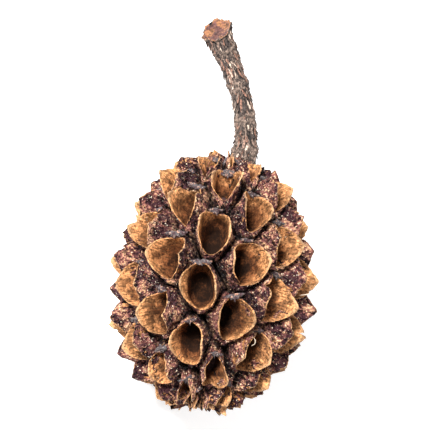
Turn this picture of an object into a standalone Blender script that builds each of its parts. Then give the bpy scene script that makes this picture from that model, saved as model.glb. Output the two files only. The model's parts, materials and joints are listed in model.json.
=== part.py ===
"""A dried, open casuarina cone lying on its side, with its curved, bark-covered stalk.

The head is one woody body. Ten whorls of seven fruits stand between each other round its core.
Each fruit is a pair of thin woody valves that gape left and right round a deep hollow, with a
pointed tip on each valve, a notch where the two meet, and a small pointed bract on the stalk side.
The head starts as a honeycomb skin with one twelve-sided cell for each fruit. The cells share their
edges, which are the crevices and bracts, and each cell is extruded into its pair of valves.

The stalk is a second body. It sits in a shallow socket in the head and ends in a flared scar.

Everything is modelled about the cone's own long axis, with the stalk towards +Y, and is then
rolled and pitched to lie as it rests, on the tips of five valves.
"""

import math
import random

import bmesh
import bpy
import numpy as np
from mathutils import Matrix, Vector

# The ellipsoid that the fruits' mouths lie in, about the long axis (metres)
MOUTH_HALF_LENGTH = 0.0150
MOUTH_RADIUS = 0.0103
MERIDIAN_SAMPLES = 721

# Whorls are counted from the stalk end. Every second one is turned by half a fruit.
WHORLS = 10
FRUITS_PER_WHORL = 7
WHORL_PITCH = 0.0033
WIDEST_WHORL = 4.31
FIRST_FRUIT_ANGLE = math.radians(-7)
WHORL_TWIST = math.radians(-2.35)
FRUIT_ANGLE = 2 * math.pi / FRUITS_PER_WHORL

# One fruit at the widest whorl: the half sizes of its mouth, and heights above and below the mouth
MOUTH_HALF_WIDTH = 0.0018
MOUTH_HALF_HEIGHT = 0.0023
TIP_RISE = 0.0018
NOTCH_DROP = 0.0009
MOUTH_DEPTH = 0.0044
FLOOR_HALF_WIDTH = 0.0007
FLOOR_HALF_HEIGHT = 0.0013
VALVE_THICKNESS = 0.0006

# The mouth's outline: how soon it narrows from its tips to its notches, and how full it stays
MOUTH_TAPER = 1.9
MOUTH_FULLNESS = 0.62
TIP_SHARPNESS = 1.3
NOTCH_SHARPNESS = 12
HOLLOW_FLARE = 1.7

# The back of a valve rises from the crevice to its rim, and swells by this much half way up
BACK_BULGE = 0.0002
# From the rim inwards, as (height up the wall, share of the wall's thickness)
WALL_ROWS = ((0.965, 1.0), (1.0, 0.0), (0.5, 0.0), (0.0, 0.0))

# A fruit's cell of the honeycomb, counter-clockwise from the tip at local +X: whorls towards the
# free end and columns round the cone, from the fruit's own place
CELL_REACH = 0.39
CELL_SHOULDER = 0.5 - CELL_REACH
CELL_OUTLINE = (
    (0, CELL_REACH),
    (-1 / 2, 1 / 4),
    (-1, CELL_SHOULDER),
    (-1, 0),
    (-1, -CELL_SHOULDER),
    (-1 / 2, -1 / 4),
    (0, -CELL_REACH),
    (1 / 2, -1 / 4),
    (1, -CELL_SHOULDER),
    (1, 0),
    (1, CELL_SHOULDER),
    (1 / 2, 1 / 4),
)
CELL_SIDES = len(CELL_OUTLINE)
CREVICE_DEPTH = 0.0025
BRACT_HEIGHT = -0.0005
BRACT_LEAN = 0.02
CELL_KEY_STEPS = 100

# How much smaller the fruits are at the two ends, and how far each is turned at random
END_SHRINK = 0.65
END_SHRINK_POWER = 3
FRUIT_TURN = math.radians(5)
FRUIT_TILT = math.radians(3)
WIDTH_SPREAD = (0.95, 1.06)
HEIGHT_SPREAD = (0.97, 1.04)
RISE_SPREAD = (0.85, 1.15)
FULL_WALL_CROWDING = 0.87
SHAPE_SEED = 11

# Where the honeycomb closes: round the stalk's socket, and in a pointed tuft at the free end
SOCKET_OFFSET = 0.0010
SOCKET_CLEARANCE = 0.0021
TUFT_CLEARANCE = 0.0011
SOCKET_MOUTH = 0.0112
SOCKET_FLOOR = 0.0092
TUFT_RADIUS = 0.0010
TUFT_EYE = 0.0004
TUFT_REACH = 0.0144
TUFT_CROWN = 0.0007

# Stalk: its centre line from the socket's floor to the scar, as (sideways, along, up, radius)
STALK_ROUTE = (
    (0.0010, 0.0094, 0.0000, 0.00125),
    (0.0010, 0.0112, 0.0000, 0.00125),
    (0.0013, 0.0132, 0.0000, 0.00132),
    (0.0017, 0.0152, 0.0000, 0.00142),
    (0.0018, 0.0170, 0.0000, 0.00130),
    (0.0015, 0.0193, 0.0000, 0.00115),
    (0.0009, 0.0217, 0.0001, 0.00110),
    (0.0000, 0.0241, 0.0002, 0.00112),
    (-0.0012, 0.0265, 0.0003, 0.00122),
    (-0.0022, 0.0282, 0.0005, 0.00138),
    (-0.0029, 0.0294, 0.0007, 0.00165),
    (-0.0034, 0.0304, 0.0009, 0.00192),
)
STALK_STEPS = 3
STALK_BEVEL_RESOLUTION = 4
STALK_WELD = 1e-6
BARK_RIDGES = 7
BARK_RIDGE_HEIGHT = 0.00007
BARK_TWIST = 0.45
BARK_WANDER = 3
SCAR_DISH = 0.0005
SCAR_SLANT = 0.45
SCAR_SLANT_REACH = 0.0035
SCAR_RIM_SHARE = 0.25
SCAR_FACING = 0.8
SOCKET_RADIUS = 0.0015

# How the cone lies: rolled onto its widest support, with its stalk's end a little lower
ROLL = math.radians(-21)
FREE_END_DIP = math.radians(-1)
WORN_TIP_DEPTH = 0.00025
GROUND_BLOCK = 0.1

HEAD_COLOUR = (0.235, 0.125, 0.075, 1.0)
HEAD_ROUGHNESS = 0.7
STALK_COLOUR = (0.190, 0.140, 0.110, 1.0)
STALK_ROUGHNESS = 0.85
SMOOTH_ANGLE = math.radians(40)


def clear_scene():
    for obj in list(bpy.data.objects):
        bpy.data.objects.remove(obj, do_unlink=True)


def new_collection(name):
    collection = bpy.data.collections.new(name)
    bpy.context.scene.collection.children.link(collection)
    return collection


def new_material(name, colour, roughness):
    material = bpy.data.materials.new(name)
    material.use_nodes = True
    shader = material.node_tree.nodes["Principled BSDF"]
    shader.inputs["Base Color"].default_value = colour
    shader.inputs["Roughness"].default_value = roughness
    shader.inputs["Metallic"].default_value = 0.0
    return material


def add_object(name, mesh, collection):
    obj = bpy.data.objects.new(name, mesh)
    collection.objects.link(obj)
    return obj


def mesh_from(bm, name):
    mesh = bpy.data.meshes.new(name)
    bm.to_mesh(mesh)
    bm.free()
    return mesh


def evaluated_mesh(obj):
    """A new mesh of the object with its modifiers applied, in its own space."""
    graph = bpy.context.evaluated_depsgraph_get()
    graph.update()
    return bpy.data.meshes.new_from_object(obj.evaluated_get(graph))


def meridian_angle(arc):
    """The angle on the mouths' ellipse that lies this far along it from the widest place."""
    angles = np.linspace(-math.pi / 2, math.pi / 2, MERIDIAN_SAMPLES)
    steps = np.hypot(
        np.diff(MOUTH_HALF_LENGTH * np.sin(angles)),
        np.diff(MOUTH_RADIUS * np.cos(angles)),
    )
    lengths = np.concatenate([[0.0], np.cumsum(steps)])
    lengths -= lengths[len(lengths) // 2]
    return float(np.interp(arc, lengths, angles))


def round_angle(whorl, column):
    return FIRST_FRUIT_ANGLE + column * FRUIT_ANGLE + (whorl - WIDEST_WHORL) * WHORL_TWIST


def surface_place(whorl, column):
    """The point of the mouths' ellipsoid at a whorl and column, which need not be whole numbers,
    and the directions round the cone, towards the stalk and straight out there."""
    theta = meridian_angle((whorl - WIDEST_WHORL) * WHORL_PITCH)
    phi = round_angle(whorl, column)
    radius = MOUTH_RADIUS * math.cos(theta)
    place = Vector(
        (radius * math.sin(phi), -MOUTH_HALF_LENGTH * math.sin(theta), radius * math.cos(phi))
    )
    out_radial = math.cos(theta) / MOUTH_RADIUS
    out_axial = -math.sin(theta) / MOUTH_HALF_LENGTH
    outward = Vector((out_radial * math.sin(phi), out_axial, out_radial * math.cos(phi)))
    outward.normalize()
    round_cone = Vector((math.cos(phi), 0.0, -math.sin(phi)))
    return place, round_cone, outward.cross(round_cone), outward


def vigour(whorl):
    """1 in the middle of the cone, less towards both ends, where the fruits are stunted."""
    from_middle = (whorl - (WHORLS - 1) / 2) / ((WHORLS + 1) / 2)
    return 1 - END_SHRINK * abs(from_middle) ** END_SHRINK_POWER


def fruit_column(whorl, number):
    return number + (whorl + 1) % 2 / 2


def skin_point(whorl, column, height):
    """A point at a height over the mouths' ellipsoid, kept clear of the stalk and of the tuft."""
    place, _, _, outward = surface_place(whorl, column)
    point = place + outward * height
    centre, clearance = (SOCKET_OFFSET, SOCKET_CLEARANCE) if place.y > 0 else (0, TUFT_CLEARANCE)
    if math.hypot(point.x - centre, point.z) < clearance:
        phi = round_angle(whorl, column)
        point.x = centre + clearance * math.sin(phi)
        point.z = clearance * math.cos(phi)
    return point


def cell_vertex(bm, shared, whorl, column, is_bract):
    """The honeycomb's vertex at a whorl and column, made once and shared by the cells round it."""
    turn = CELL_KEY_STEPS * FRUITS_PER_WHORL
    key = (round(2 * whorl), round(CELL_KEY_STEPS * column) % turn)
    if key not in shared:
        height = BRACT_HEIGHT if is_bract else -CREVICE_DEPTH * vigour(whorl)
        lean = BRACT_LEAN if is_bract else 0.0
        shared[key] = bm.verts.new(skin_point(whorl + lean, column, height))
    return shared[key]


def fruit_shape(whorl, column, chance):
    """One fruit's frame and its sizes. Local X runs round the cone, Y to the stalk, Z outwards."""
    place, round_cone, to_stalk, outward = surface_place(whorl, column)
    frame = Matrix((round_cone, to_stalk, outward)).transposed().to_4x4()
    turn = Matrix.Rotation(chance.uniform(-FRUIT_TURN, FRUIT_TURN), 4, "Z")
    tilt = Matrix.Rotation(chance.uniform(-FRUIT_TILT, FRUIT_TILT), 4, "X")
    frame = Matrix.Translation(place) @ frame @ turn @ tilt
    crowding = math.hypot(place.x, place.z) / MOUTH_RADIUS
    size = vigour(whorl)
    return {
        "frame": frame,
        "size": size,
        "half_width": MOUTH_HALF_WIDTH * crowding * chance.uniform(*WIDTH_SPREAD),
        "half_height": MOUTH_HALF_HEIGHT * size * chance.uniform(*HEIGHT_SPREAD),
        "rises": [TIP_RISE * size * chance.uniform(*RISE_SPREAD) for _ in range(2)],
        "depth": MOUTH_DEPTH * size,
        "thickness": VALVE_THICKNESS * min(1.0, crowding / FULL_WALL_CROWDING),
        "crowding": crowding,
    }


def wall_point(fruit, turn, climb, thickness):
    """A point of a fruit's wall. Turn goes round the mouth from the tip at local +X, climb from 0
    on the floor to 1 at the rim, and thickness is how far outside the inner face it lies."""
    across, along = math.cos(turn), math.sin(turn)
    pinch = max(0.0, 1 - abs(along) ** MOUTH_TAPER) ** MOUTH_FULLNESS
    tip = max(0.0, 1 - abs(along) ** TIP_SHARPNESS)
    rim_x = math.copysign(fruit["half_width"] * pinch, across)
    rim_y = fruit["half_height"] * along
    rim_z = fruit["rises"][across < 0] * tip - NOTCH_DROP * abs(along) ** NOTCH_SHARPNESS
    floor_x = FLOOR_HALF_WIDTH * fruit["crowding"] * across
    floor_y = FLOOR_HALF_HEIGHT * fruit["half_height"] / MOUTH_HALF_HEIGHT * along
    widen = 1 - (1 - climb) ** HOLLOW_FLARE
    x = floor_x + (rim_x - floor_x) * widen
    y = floor_y + (rim_y - floor_y) * widen
    z = -fruit["depth"] + (rim_z + fruit["depth"]) * climb
    return Vector((x + thickness * across, y + thickness * along, z))


def raise_fruit(bm, cell, fruit):
    """Extrudes a cell up the backs of its valves, over the rim and down into the hollow."""
    turns = [2 * math.pi * number / CELL_SIDES for number in range(CELL_SIDES)]
    bottom = [vert.co.copy() for vert in cell.verts]
    face = bmesh.ops.extrude_discrete_faces(bm, faces=[cell])["faces"][0]
    for vert, crevice, turn in zip(face.verts, bottom, turns):
        rim = fruit["frame"] @ wall_point(fruit, turn, WALL_ROWS[0][0], fruit["thickness"])
        swelling = Vector((BACK_BULGE * fruit["size"] * math.cos(turn), 0.0, 0.0))
        vert.co = (crevice + rim) / 2 + fruit["frame"].to_3x3() @ swelling
    for climb, share in WALL_ROWS:
        face = bmesh.ops.extrude_discrete_faces(bm, faces=[face])["faces"][0]
        for vert, turn in zip(face.verts, turns):
            vert.co = fruit["frame"] @ wall_point(fruit, turn, climb, share * fruit["thickness"])


def open_loop_face(bm, towards_stalk):
    """Closes the honeycomb's open end with one face, and returns it."""
    side = 1 if towards_stalk else -1
    edges = [e for e in bm.edges if e.is_boundary and e.verts[0].co.y * side > 0]
    face = bmesh.ops.contextual_create(bm, geom=edges)["faces"][0]
    face.normal_update()
    if face.normal.y * side < 0:
        face.normal_flip()
    return face


def extrude_to_ring(bm, face, radius, along, sideways=0.0, crown=0.0):
    """Extrudes a face onto a circle across the cone's axis, set off from it sideways if asked to.
    A crown bends the circle into as many points as a whorl has fruits."""
    first = face.verts[0].co
    start = math.atan2(first.x - sideways, first.z)
    turn = math.copysign(2 * math.pi / len(face.verts), face.normal.y)
    face = bmesh.ops.extrude_discrete_faces(bm, faces=[face])["faces"][0]
    for number, vert in enumerate(face.verts):
        phi = start + number * turn
        point = crown * math.cos(FRUITS_PER_WHORL * number * turn)
        vert.co = (sideways + radius * math.sin(phi), along + point, radius * math.cos(phi))
    face.normal_update()
    return face


def build_head(collection):
    bm = bmesh.new()
    shared = {}
    chance = random.Random(SHAPE_SEED)
    cells = []
    for whorl in range(WHORLS):
        for number in range(FRUITS_PER_WHORL):
            column = fruit_column(whorl, number)
            verts = [
                cell_vertex(bm, shared, whorl + down, column + round_cone, round_cone == 0)
                for down, round_cone in CELL_OUTLINE
            ]
            cells.append((bm.faces.new(verts), fruit_shape(whorl, column, chance)))
    socket_side = open_loop_face(bm, towards_stalk=True)
    tuft_side = open_loop_face(bm, towards_stalk=False)
    for cell, fruit in cells:
        raise_fruit(bm, cell, fruit)
    rim = extrude_to_ring(bm, socket_side, SOCKET_RADIUS, SOCKET_MOUTH, SOCKET_OFFSET)
    extrude_to_ring(bm, rim, SOCKET_RADIUS, SOCKET_FLOOR, SOCKET_OFFSET)
    tuft = extrude_to_ring(bm, tuft_side, TUFT_RADIUS, -TUFT_REACH, crown=TUFT_CROWN)
    extrude_to_ring(bm, tuft, TUFT_EYE, -TUFT_REACH)
    bmesh.ops.triangulate(bm, faces=bm.faces)
    return add_object("cone_head", mesh_from(bm, "cone_head"), collection)


def stalk_points():
    """The stalk's centre line and radius, on a smooth curve through its route."""
    route = np.array(STALK_ROUTE)
    spans = len(route) - 1
    points = []
    for i in range(spans):
        before, start, end, after = (route[min(max(k, 0), spans)] for k in range(i - 1, i + 3))
        for step in range(STALK_STEPS):
            t = step / STALK_STEPS
            points.append(
                0.5
                * (
                    2 * start
                    + (end - before) * t
                    + (2 * before - 5 * start + 4 * end - after) * t * t
                    + (3 * start - before - 3 * end + after) * t ** 3
                )
            )
    points.append(route[-1])
    return np.array(points)


def build_stalk(collection):
    """A tapering tube along the stalk's route, with ridged bark and a dished scar."""
    points = stalk_points()
    curve = bpy.data.curves.new("stalk", "CURVE")
    curve.dimensions = "3D"
    curve.bevel_depth = 1.0
    curve.bevel_resolution = STALK_BEVEL_RESOLUTION
    curve.use_fill_caps = True
    spline = curve.splines.new("POLY")
    spline.points.add(len(points) - 1)
    for spot, (sideways, along, up, radius) in zip(spline.points, points):
        spot.co = (sideways, along, up, 1.0)
        spot.radius = radius
    guide = add_object("stalk_line", curve, collection)
    mesh = evaluated_mesh(guide)
    bpy.data.objects.remove(guide)
    bm = bmesh.new()
    bm.from_mesh(mesh)
    bmesh.ops.remove_doubles(bm, verts=bm.verts, dist=STALK_WELD)
    raise_bark(bm, points)
    slant_scar(bm, points)
    dish_scar(bm, points)
    bm.to_mesh(mesh)
    bm.free()
    return add_object("stalk", mesh, collection)


def raise_bark(bm, points):
    """Raises shallow wandering ridges along the stalk, clear of its end faces."""
    for vert in bm.verts:
        nearest = int(np.argmin(np.linalg.norm(points[:, :3] - np.array(vert.co), axis=1)))
        out = vert.co - Vector(points[nearest][:3])
        angle = math.atan2(out.z, out.x)
        wave = math.sin(BARK_RIDGES * angle + BARK_WANDER * math.sin(nearest * BARK_TWIST))
        vert.co += out.normalized() * BARK_RIDGE_HEIGHT * wave


def stalk_end(points):
    """The middle of the scar, and the way the stalk runs there."""
    end, before = (Vector(points[k][:3]) for k in (-1, -2))
    return end, (end - before).normalized()


def slant_scar(bm, points):
    """Draws the upper side of the stalk's end back and the lower side on, for an oblique scar."""
    end, way = stalk_end(points)
    for vert in bm.verts:
        share = 1 + (vert.co - end).dot(way) / SCAR_SLANT_REACH
        if share > 0:
            vert.co -= way * SCAR_SLANT * (vert.co.z - end.z) * share


def dish_scar(bm, points):
    end, way = stalk_end(points)
    reach = points[-1][3]
    scar = [
        face
        for face in bm.faces
        if face.normal.dot(way) > SCAR_FACING and (face.calc_center_median() - end).length < reach
    ]
    dished = bmesh.ops.inset_region(bm, faces=scar, thickness=SCAR_RIM_SHARE * reach, depth=0.0)
    rim = {vert for face in dished["faces"] for vert in face.verts}
    inner = {vert for face in scar for vert in face.verts} & rim
    for vert in inner:
        vert.co -= way * SCAR_DISH


def world_points(obj):
    return np.array([obj.matrix_world @ v.co for v in obj.data.vertices])


def wear_tips(head, ground, cutters):
    """Takes off what of the head is below the ground, which leaves small flats on its lowest tips."""
    bm = bmesh.new()
    bmesh.ops.create_cube(bm, size=GROUND_BLOCK)
    block = add_object("ground_block", mesh_from(bm, "ground_block"), cutters)
    block.display_type = "WIRE"
    block.hide_render = True
    block.matrix_world = Matrix.Translation((0.0, 0.0, ground - GROUND_BLOCK / 2))
    bpy.context.view_layer.update()
    cut = head.modifiers.new("wear", "BOOLEAN")
    cut.operation = "DIFFERENCE"
    cut.solver = "EXACT"
    cut.object = block
    worn = evaluated_mesh(head)
    head.modifiers.clear()
    head.data = worn
    bpy.data.objects.remove(block)


def lay_down(head, stalk, parts, cutters):
    """Rolls and pitches both bodies to their resting pose, wears the tips that touch the ground
    flat, and puts the origin at the middle of the underside of their common box."""
    pose = Matrix.Rotation(FREE_END_DIP, 4, "X") @ Matrix.Rotation(ROLL, 4, "Y")
    for obj in (head, stalk):
        obj.matrix_world = pose
    ground = world_points(head)[:, 2].min() + WORN_TIP_DEPTH
    wear_tips(head, ground, cutters)
    cloud = np.vstack([world_points(head), world_points(stalk)])
    middle = (cloud.min(axis=0) + cloud.max(axis=0)) / 2
    rest = bpy.data.objects.new("resting_pose", None)
    parts.objects.link(rest)
    rest.matrix_world = Matrix.Translation((-middle[0], -middle[1], -ground)) @ pose
    for obj in (head, stalk):
        obj.parent = rest
        obj.matrix_basis = Matrix.Identity(4)
    bpy.context.view_layer.update()


def finish(obj, material):
    obj.data.materials.clear()
    obj.data.materials.append(material)
    obj.data.shade_smooth()
    obj.data.set_sharp_from_angle(angle=SMOOTH_ANGLE)


def main():
    clear_scene()
    parts = new_collection("casuarina_cone")
    cutters = new_collection("cutters")
    head = build_head(parts)
    stalk = build_stalk(parts)
    lay_down(head, stalk, parts, cutters)
    finish(head, new_material("dry_wood", HEAD_COLOUR, HEAD_ROUGHNESS))
    finish(stalk, new_material("stalk_bark", STALK_COLOUR, STALK_ROUGHNESS))


main()
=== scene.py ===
"""The looks of a dried, open casuarina cone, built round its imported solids.

The valves, bracts, end scales and bark flakes repeat, so Geometry Nodes make them from seats on the
cone's own lattice. The core, the stalk and its scar follow the same formulas as the solids, and the
fibres are slim tubes along short curved routes.
"""

import json
import math
import random

import bpy
import numpy as np
from bpy.props import FloatProperty, FloatVectorProperty, IntProperty, PointerProperty
from mathutils import Matrix, Vector

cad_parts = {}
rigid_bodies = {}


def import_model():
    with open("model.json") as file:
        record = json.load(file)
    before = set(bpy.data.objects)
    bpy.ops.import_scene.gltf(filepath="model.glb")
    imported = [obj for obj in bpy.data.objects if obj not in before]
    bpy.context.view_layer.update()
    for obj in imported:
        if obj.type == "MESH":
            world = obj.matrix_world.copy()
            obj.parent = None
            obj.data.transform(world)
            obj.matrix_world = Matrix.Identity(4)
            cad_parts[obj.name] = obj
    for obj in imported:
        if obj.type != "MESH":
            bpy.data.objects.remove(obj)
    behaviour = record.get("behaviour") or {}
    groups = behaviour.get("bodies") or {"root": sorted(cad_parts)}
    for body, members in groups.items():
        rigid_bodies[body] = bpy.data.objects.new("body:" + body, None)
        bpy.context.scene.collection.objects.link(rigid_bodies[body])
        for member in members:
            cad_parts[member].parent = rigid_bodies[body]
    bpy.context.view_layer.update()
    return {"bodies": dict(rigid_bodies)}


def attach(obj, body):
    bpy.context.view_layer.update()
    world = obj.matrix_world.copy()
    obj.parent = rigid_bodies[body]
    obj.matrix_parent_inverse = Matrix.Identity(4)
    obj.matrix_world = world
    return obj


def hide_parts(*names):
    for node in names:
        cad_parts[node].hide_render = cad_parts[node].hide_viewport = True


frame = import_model()

bl_info = {
    "name": "Casuarina cone",
    "version": (1, 0, 0),
    "blender": (4, 5, 0),
    "location": "3D View > Sidebar > Cone",
    "description": "Builds the valves, bracts, stalk and studio stage of a dried casuarina cone",
    "category": "Object",
}

BODY = next(iter(frame["bodies"]))

# The resting pose of the solids: a roll about the long axis, a dip of the free end, and a shift
ROLL = math.radians(-21)
FREE_END_DIP = math.radians(-1)
REST_SHIFT = (-0.0000306, -0.0083097, 0.0117188)

# The lattice that the fruits stand on, counted from the stalk end
WIDEST_WHORL = 4.31
FIRST_FRUIT_ANGLE = math.radians(-7)
WHORL_TWIST = math.radians(-2.35)
MERIDIAN_SAMPLES = 721
SHAPE_SEED = 11
TONE_STEP = 0.618

# A fruit's cell, from the fruit's own place: whorls towards the free end, columns round the cone
CELL_REACH = 0.39
CELL_SHOULDER = 0.5 - CELL_REACH
CELL_OUTLINE = (
    (0, CELL_REACH), (-1 / 2, 1 / 4), (-1, CELL_SHOULDER), (-1, 0), (-1, -CELL_SHOULDER),
    (-1 / 2, -1 / 4), (0, -CELL_REACH), (1 / 2, -1 / 4), (1, -CELL_SHOULDER), (1, 0),
    (1, CELL_SHOULDER), (1 / 2, 1 / 4), (0, CELL_REACH),
)

# How fruits differ: their most turn and tilt, and the least and most share of width, height, rise
OPEN_SPREAD = {
    "turn": math.radians(5),
    "tilt": math.radians(3),
    "width": (0.95, 1.06),
    "height": (0.97, 1.04),
    "rise": (0.85, 1.15),
}
CLOSED_SPREAD = {
    "turn": 0.5,
    "tilt": 0.25,
    "width": (0.12, 0.5),
    "height": (0.75, 1.0),
    "rise": (0.7, 1.5),
}
CLOSED_WHORLS = (
    # whorl on the lattice, fruits, size, how far they are sunk
    (-0.55, 9, 0.50, 0.0005),
    (-1.10, 7, 0.36, 0.0002),
    (9.50, 8, 0.60, 0.0003),
    (10.0, 8, 0.52, 0.0007),
    (10.5, 5, 0.42, 0.0012),
)

# A fruit's surface grid: points round it, and rows up its back, over its rim and down inside
CUP_TURNS = 96
CLOSED_CUP_TURNS = 48
BACK_ROWS = 18
BACK_TOP = 0.965
RIM_ROWS = ((0.985, 0.96), (1.0, 0.72), (1.0, 0.34), (0.982, 0.06))
INNER_ROWS = 12
INNER_TOP = 0.96
INNER_EASE = 1.15
FOOT_LIFT_START = 0.93
FOOT_LIFT_RUN = 0.07
SKIRT_ROW = -0.5
BURIED_ROW = -1.0

# A fruit's form: the mouth's outline, the hollow's floor, the walls, the foot and its skirt
MOUTH_TAPER = 2.5
MOUTH_FULLNESS = 0.52
TIP_SHARPNESS = 1.1
NOTCH_SHARPNESS = 12
HOLLOW_FLARE = 1.7
FLOOR_HALF_WIDTH = 0.0007
FLOOR_HALF_HEIGHT = 0.0013
CROWDING_GAIN = 1.15
THINNEST_WALL = 0.6
NOTCH_FOOT_LIFT = 0.8
FOOT_REACH = 0.93
FOOT_SAG = 28
BACK_BULGE = 0.00022
SKIRT_DEPTH = 1.2
SKIRT_TAPER = 0.25
DEEPEST_BITE = 0.17
RAGGED_EDGE = 0.07

LICHEN_SEAT = (1.5, -0.73)
LICHEN_RISE = 0.0014
VALVE_GLOSS = 0.18
CREVICE_SHADE = 0.35

# A bract of unit half width: half its outline, and rings of it as (share of the outline, height)
BRACT_OUTLINE = (
    (0.0, -0.74), (0.10, -0.28), (0.40, -0.44), (0.44, -0.16), (0.80, -0.30),
    (1.12, -0.02), (0.72, 0.03), (0.50, 0.24), (0.22, 0.20), (0.0, 0.48),
)
BRACT_LEVELS = ((0.9, -0.14), (1.0, 0.0), (0.6, 0.10), (0.3, 0.24))
BRACT_CUPPING = 0.12
BRACT_GAP = 0.0003
BRACT_SINK = 0.0006

# The core: how deep it lies in the middle, in mouth depths, and how much less at the ends
CORE_ROWS = 90
CORE_COLUMNS = 120
CORE_INSET = 1.24
CORE_END_INSET_LESS = 0.84

# The closed scales at both ends
SOCKET_OFFSET = 0.0010
SCALE_SIDES = 12
SCALE_CLIMBS = (0.0, 0.2, 0.42, 0.64, 0.82, 0.94)
SCALE_RING_TURN = 0.37
END_RINGS = (
    # along, radius, how many, lean outwards, size
    (0.0124, 0.0036, 11, 0.95, 0.55),
    (0.0130, 0.0026, 9, 0.60, 0.60),
    (0.0132, 0.0018, 8, 0.30, 0.55),
    (-0.0130, 0.0034, 8, 1.00, 0.55),
    (-0.0134, 0.0018, 5, 0.60, 0.50),
)

# The stalk's centre line from the socket's floor to the scar: (sideways, along, up, radius)
STALK_ROUTE = (
    (0.0010, 0.0094, 0.0000, 0.00125),
    (0.0010, 0.0112, 0.0000, 0.00125),
    (0.0013, 0.0132, 0.0000, 0.00132),
    (0.0017, 0.0152, 0.0000, 0.00142),
    (0.0018, 0.0170, 0.0000, 0.00130),
    (0.0015, 0.0193, 0.0000, 0.00115),
    (0.0009, 0.0217, 0.0001, 0.00110),
    (0.0000, 0.0241, 0.0002, 0.00112),
    (-0.0012, 0.0265, 0.0003, 0.00122),
    (-0.0022, 0.0282, 0.0005, 0.00138),
    (-0.0029, 0.0294, 0.0007, 0.00165),
    (-0.0034, 0.0304, 0.0009, 0.00192),
)
STALK_STEPS = 16
STALK_COLUMNS = 96
SHEATH_LENGTH = 0.0042

# The scar: its slopes up and aside, what is cut off square and ragged, how far down the stalk the
# slant reaches, how deep it is dished, and its rings as (share of the stalk's radius, dish)
SCAR_SLANT = 0.68
SCAR_SKEW = 0.22
SCAR_CUT = 0.0002
SCAR_RAGGED = 0.00016
SCAR_SLANT_REACH = 0.0045
SCAR_DISH = 0.0006
SCAR_HEART_DISH = 0.9
SCAR_RINGS = ((0.93, 0.0), (0.84, 0.25), (0.74, 0.7), (0.6, 1.0), (0.42, 1.05), (0.2, 0.95))

FLAKE_SIDES = 6
FLAKE_RINGS = (-0.42, -0.25, 0.0, 0.25, 0.46)
FLAKES_PER_SQUARE_METRE = 8.0e6
FLAKE_SEED = 4
FLAKES_END = (0.0003, 0.0009)

FIBRE_SEATS = (
    # whorl, column, length and turn of the fibres that are caught on the valves
    (6.7, 0.89, 0.0011, 1.9),
    (4.6, 1.49, 0.0022, 0.6),
)
FIBRE_SHARES = (0.0, 0.25, 0.5, 0.75, 1.0)
FIBRE_SIDES = 6
BASE_FIBRES = 22
BASE_FIBRE_SPAN = (0.0118, 0.0150)
BASE_FIBRE_LENGTH = (0.0008, 0.0018)

# The photograph's view: how far the camera leans to the free end, how far it is turned, its scale
# and the pixel that the cone's middle falls on
VIEW_LEAN = math.radians(10.6)
VIEW_TURN = math.radians(7)
VIEW_PIXELS = 430
PIXELS_PER_METRE = 8500
MIDDLE_PIXEL = (213.5, 281.2)
FLOOR_HALF = 1.5
KEY_SIZE = 0.10
FILL_SIZE = 0.30
WHITE = (1.0, 1.0, 1.0, 1.0)


def length(name, description, default):
    return FloatProperty(
        name=name, description=description, default=default, unit="LENGTH", precision=5
    )


def amount(name, description, default, **limits):
    return FloatProperty(name=name, description=description, default=default, min=0, **limits)


def colour(name, description, default):
    return FloatVectorProperty(
        name=name, description=description, default=default, subtype="COLOR", min=0, max=1
    )


class ConeShape(bpy.types.PropertyGroup):
    """Sizes of the cone, its valves, bracts and scales, its bark and its fibres."""
    # Colours of the cone's woods and bark, and of the painted shade and highlights on them.

    mouth_half_length: length("Half length", "Half the length of the mouths' ellipsoid", 0.0150)
    mouth_radius: length("Radius", "Radius of the mouths' ellipsoid", 0.0103)
    whorls: IntProperty(name="Whorls", description="Rings of fruits", default=10, min=1)
    fruits: IntProperty(name="Fruits", description="Fruits in each whorl", default=7, min=3)
    whorl_pitch: length("Whorl pitch", "Distance from one whorl to the next", 0.0033)
    half_width: length("Mouth half width", "Across the cone, at the widest whorl", 0.00195)
    half_height: length("Mouth half height", "Along the cone, at the widest whorl", 0.0024)
    tip_rise: length("Tip rise", "How far the valves' tips stand out", 0.0018)
    notch_drop: length("Notch drop", "How far the rim dips where two valves meet", 0.0009)
    mouth_depth: length("Mouth depth", "Depth of the hollow between two valves", 0.0044)
    crevice_depth: length("Crevice depth", "Depth of the creases between fruits", 0.0025)
    tip_thickness: length("Tip thickness", "Thickness of a valve at its pointed tip", 0.00028)
    edge_thickness: length("Edge thickness", "Thickness of a valve where two meet", 0.00013)
    end_shrink: amount("End shrink", "How stunted the end fruits are", 0.65, max=1)
    wart_height: length("Wart height", "Relief on the backs of the valves", 0.00055)
    warp: length("Warp", "How far the valves are bent out of true", 0.0016)
    bract_size: length("Bract size", "Half the width of a bract at the widest whorl", 0.00090)
    scale_length: length("End scale length", "Length of the closed scales at the ends", 0.0024)
    ridge_height: length("Bark ridge height", "Relief of the stalk's bark", 0.00058)
    flake_length: length("Flake length", "Length of a loose flake of bark", 0.0014)
    fibre_width: length("Fibre width", "Thickness of a dry fibre", 0.00008)


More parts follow.
